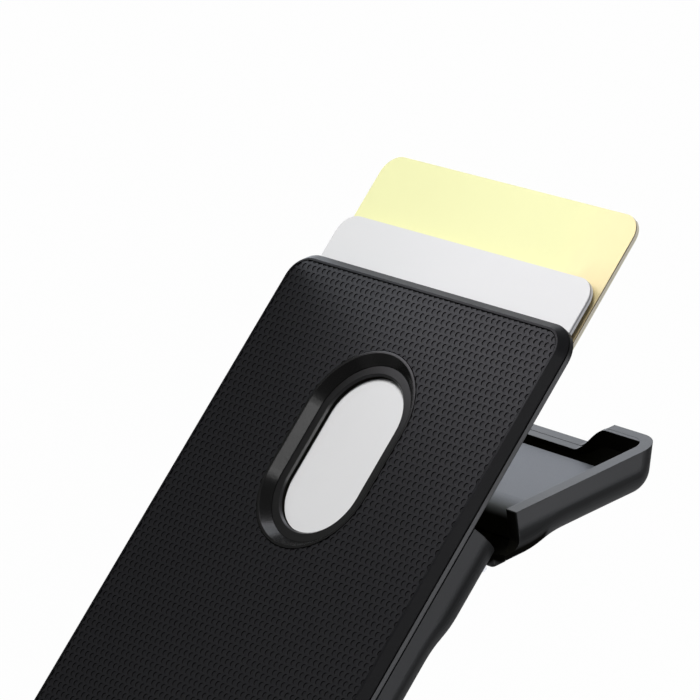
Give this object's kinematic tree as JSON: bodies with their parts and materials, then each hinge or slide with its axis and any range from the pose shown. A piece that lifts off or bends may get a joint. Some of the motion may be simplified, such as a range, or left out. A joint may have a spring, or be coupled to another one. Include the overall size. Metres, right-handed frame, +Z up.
{
  "type": "card wallet",
  "caption": "Rigid card wallet with a bevelled, dimpled front, an oval thumb window, a hinged lid over the card mouth and two cards that slide out.",
  "frame": {"origin": "on the left edge that the wallet stands on, at the frame plate's mid-thickness, half way along the cover", "axes": "+X from the card mouth towards the closed end, +Y from the front to the back, +Z up across the width"},
  "size_m": [0.1116, 0.0287, 0.0602],
  "materials": {
    "case_plastic": "satin moulded",
    "grip_panel": "dimpled satin",
    "ring_plastic": "satin moulded",
    "frame_plastic": "satin moulded",
    "shell_plastic": "satin moulded",
    "lid_plastic": "satin moulded",
    "liner_metal": "satin grey",
    "rear_liner_metal": "bare sheet",
    "pin_steel": "drawn wire",
    "bush_plastic": "natural acetal",
    "spring_steel": "rolled strip",
    "rivet_steel": "plain",
    "screw_steel": "zinc plated",
    "white_card_plastic": "laminated",
    "gold_card_plastic": "metallic print"
  },
  "bodies": {
    "case": {"front_frame": "case_plastic", "front_panel": "grip_panel", "thumb_ring": "ring_plastic", "mid_frame": "frame_plastic", "case_screws": "screw_steel", "rear_shell": "shell_plastic", "rear_liner": "rear_liner_metal", "card_spring": "spring_steel", "spring_rivets": "rivet_steel", "hinge_pin": "pin_steel"},
    "lid_assembly": {"lid": "lid_plastic", "lid_liner": "liner_metal", "hinge_bushes": "bush_plastic"},
    "first_card": {"white_card": "white_card_plastic"},
    "second_card": {"gold_card": "gold_card_plastic"}
  },
  "joints": [
    {"name": "lid_hinge", "type": "hinge", "parent": "case", "child": "lid_assembly", "pos_m": [-0.01235, 0.00695, 0.0301], "axis": [0, 0, -1], "range_deg": [-40, 55]},
    {"name": "first_card_slide", "type": "slide", "parent": "case", "child": "first_card", "axis": [-1, 0, 0], "range_m": [-0.0119, 0.0164]},
    {"name": "second_card_slide", "type": "slide", "parent": "case", "child": "second_card", "axis": [-1, 0, 0], "range_m": [-0.0232, 0.0319]}
  ],
  "couplings": [
    {"joint": "first_card_slide", "follows": "lid_hinge", "m_per_rad": 0.01704},
    {"joint": "second_card_slide", "follows": "lid_hinge", "m_per_rad": 0.0332}
  ]
}
